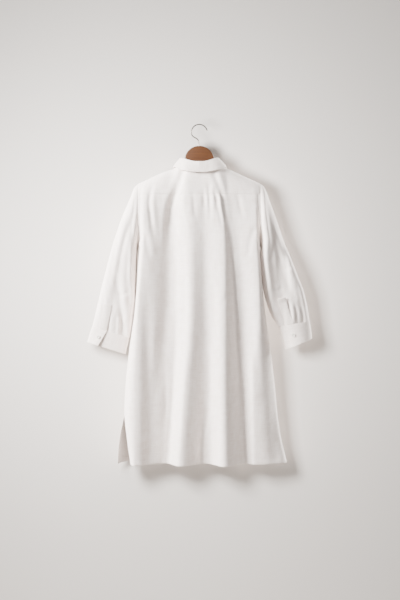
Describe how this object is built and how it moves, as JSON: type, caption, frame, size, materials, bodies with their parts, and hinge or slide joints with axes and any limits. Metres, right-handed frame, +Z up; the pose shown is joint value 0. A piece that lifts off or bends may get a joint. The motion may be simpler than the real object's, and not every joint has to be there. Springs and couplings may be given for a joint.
{
  "type": "shirt dress on a clothes hanger",
  "caption": "Long-sleeved white linen shirt dress with a collar, buttoned front and side vents, hung on a wooden clothes hanger.",
  "frame": {"origin": "inner top of the hanger's hook, where it rests on a rail", "axes": "+Z up; +Y towards the side that the dress's buttoned front faces, across its flat hang; +X towards the wearer's right"},
  "size_m": [0.7615, 0.1381, 1.1538],
  "materials": {
    "white linen": "plain weave linen, soft and lightly creased",
    "white linen, double": "two layers of the linen, pressed flat",
    "pearl button": "soft pearl shine",
    "varnished beech": "clear satin varnish",
    "chromed steel wire": "bright plated wire"
  },
  "bodies": {
    "root": {"yoke": "white linen", "back": "white linen", "front_left": "white linen", "front_right": "white linen", "front_band": "white linen, double", "sleeve_left": "white linen", "sleeve_right": "white linen", "sleeve_placket_left": "white linen, double", "sleeve_placket_right": "white linen, double", "cuff_left": "white linen, double", "cuff_right": "white linen, double", "collar_stand": "white linen, double", "collar_leaf": "white linen, double", "button_1": "pearl button", "button_2": "pearl button", "button_3": "pearl button", "button_4": "pearl button", "button_5": "pearl button", "button_6": "pearl button", "button_7": "pearl button", "button_8": "pearl button", "button_9": "pearl button", "button_collar": "pearl button", "button_cuff_left": "pearl button", "button_cuff_right": "pearl button", "hanger_wood": "varnished beech", "hanger_hook": "chromed steel wire"}
  },
  "joints": []
}
